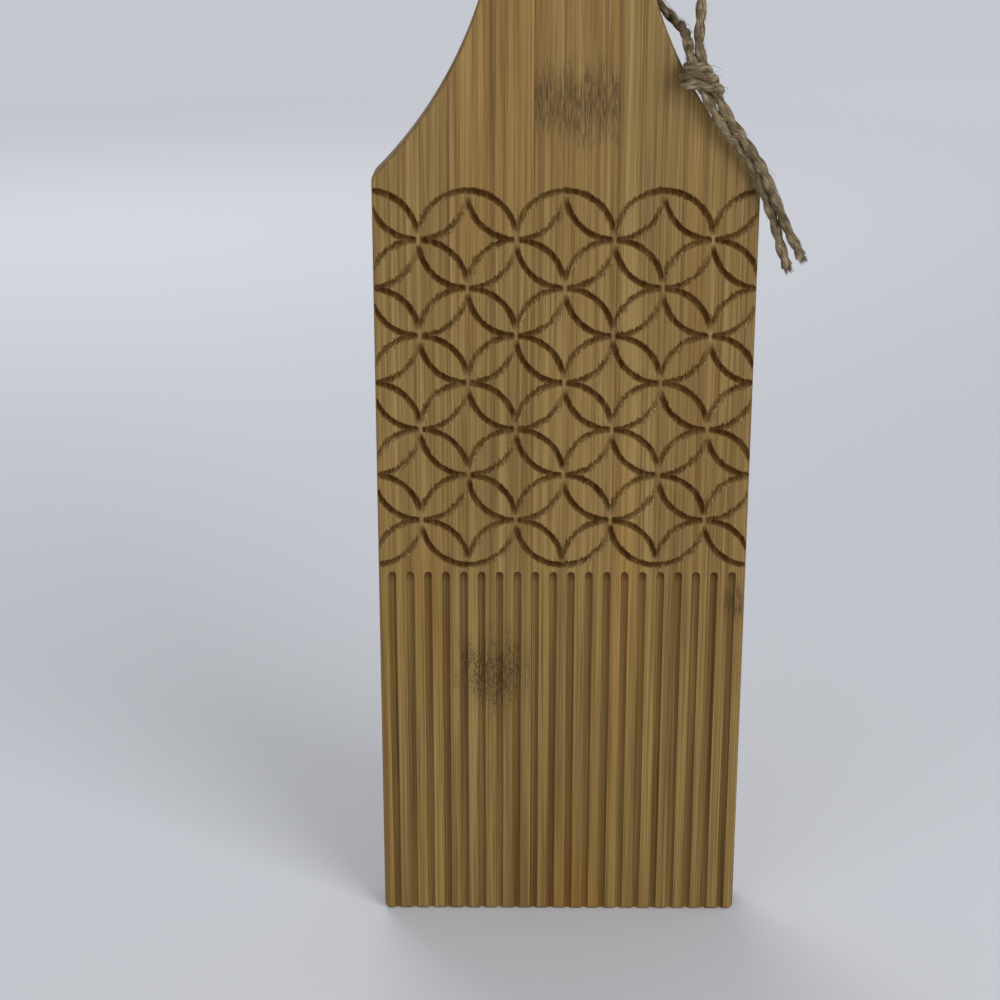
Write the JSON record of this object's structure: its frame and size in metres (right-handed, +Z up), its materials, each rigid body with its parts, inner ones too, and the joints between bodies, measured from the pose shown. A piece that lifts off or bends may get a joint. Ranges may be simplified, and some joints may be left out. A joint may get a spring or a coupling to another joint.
{
  "type": "gnocchi board",
  "caption": "Laminated bamboo gnocchi paddle with a band of overlapping carved circles, straight grooves and a jute twine hanging loop.",
  "frame": {"origin": "middle of the board's bottom end, where it would stand on a table", "axes": "+Z up the board towards the handle, the carved front faces -Y, +X to the right when the front is looked at"},
  "size_m": [0.1236, 0.0325, 0.35],
  "materials": {
    "front_bamboo": "satin, fine vertical fibres, darker carved lines",
    "core_bamboo": "satin, fine vertical fibres",
    "back_bamboo": "satin, fine vertical fibres",
    "jute": "matte twisted natural fibre"
  },
  "bodies": {
    "root": {"front_strip_1": "front_bamboo", "front_strip_2": "front_bamboo", "front_strip_3": "front_bamboo", "front_strip_4": "front_bamboo", "front_strip_5": "front_bamboo", "core_strip_1": "core_bamboo", "core_strip_2": "core_bamboo", "core_strip_3": "core_bamboo", "core_strip_4": "core_bamboo", "core_strip_5": "core_bamboo", "back_strip_1": "back_bamboo", "back_strip_2": "back_bamboo", "back_strip_3": "back_bamboo", "back_strip_4": "back_bamboo", "back_strip_5": "back_bamboo", "twine_front_strand": "jute", "twine_back_strand": "jute", "twine_knot": "jute", "twine_long_tail": "jute", "twine_short_tail": "jute"}
  },
  "joints": []
}
